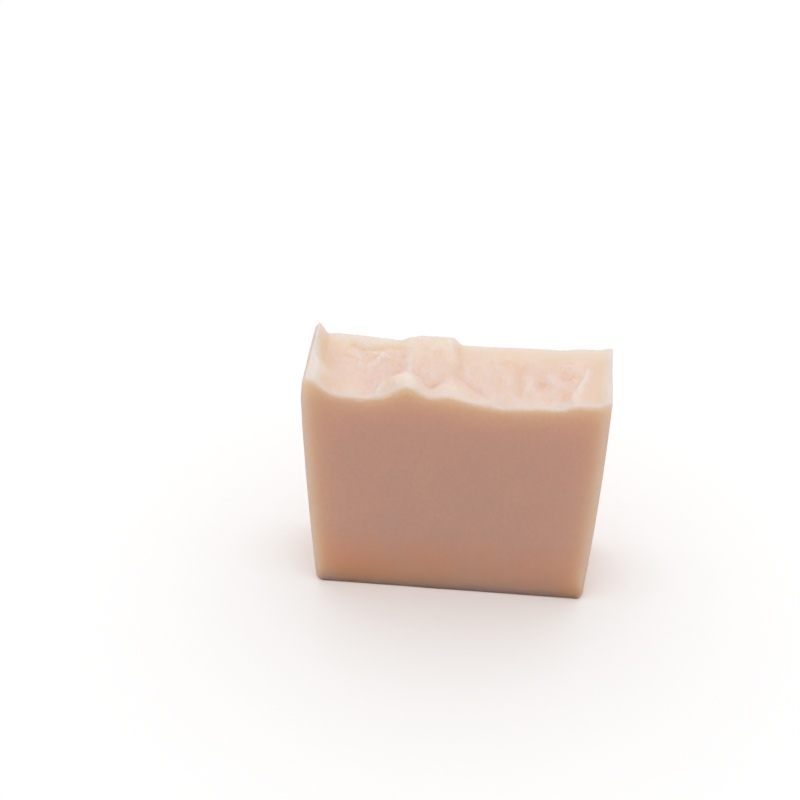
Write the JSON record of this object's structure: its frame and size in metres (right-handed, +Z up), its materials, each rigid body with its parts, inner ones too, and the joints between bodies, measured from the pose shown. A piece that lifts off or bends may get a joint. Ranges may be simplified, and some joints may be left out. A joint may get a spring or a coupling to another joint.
{
  "type": "bar of soap",
  "caption": "Upright bar of soap cut as a flat slice from a moulded loaf, with two flat cut faces, drafted sides and a rough, folded top.",
  "frame": {"origin": "centre of the bar's base, on the surface that it stands on", "axes": "+X along the bar's width, +Y through the slice's thickness from the front cut to the back cut, +Z up to the poured top"},
  "size_m": [0.0749, 0.024, 0.0652],
  "materials": {
    "soap": "satin"
  },
  "bodies": {
    "root": {"soap_bar": "soap"}
  },
  "joints": []
}
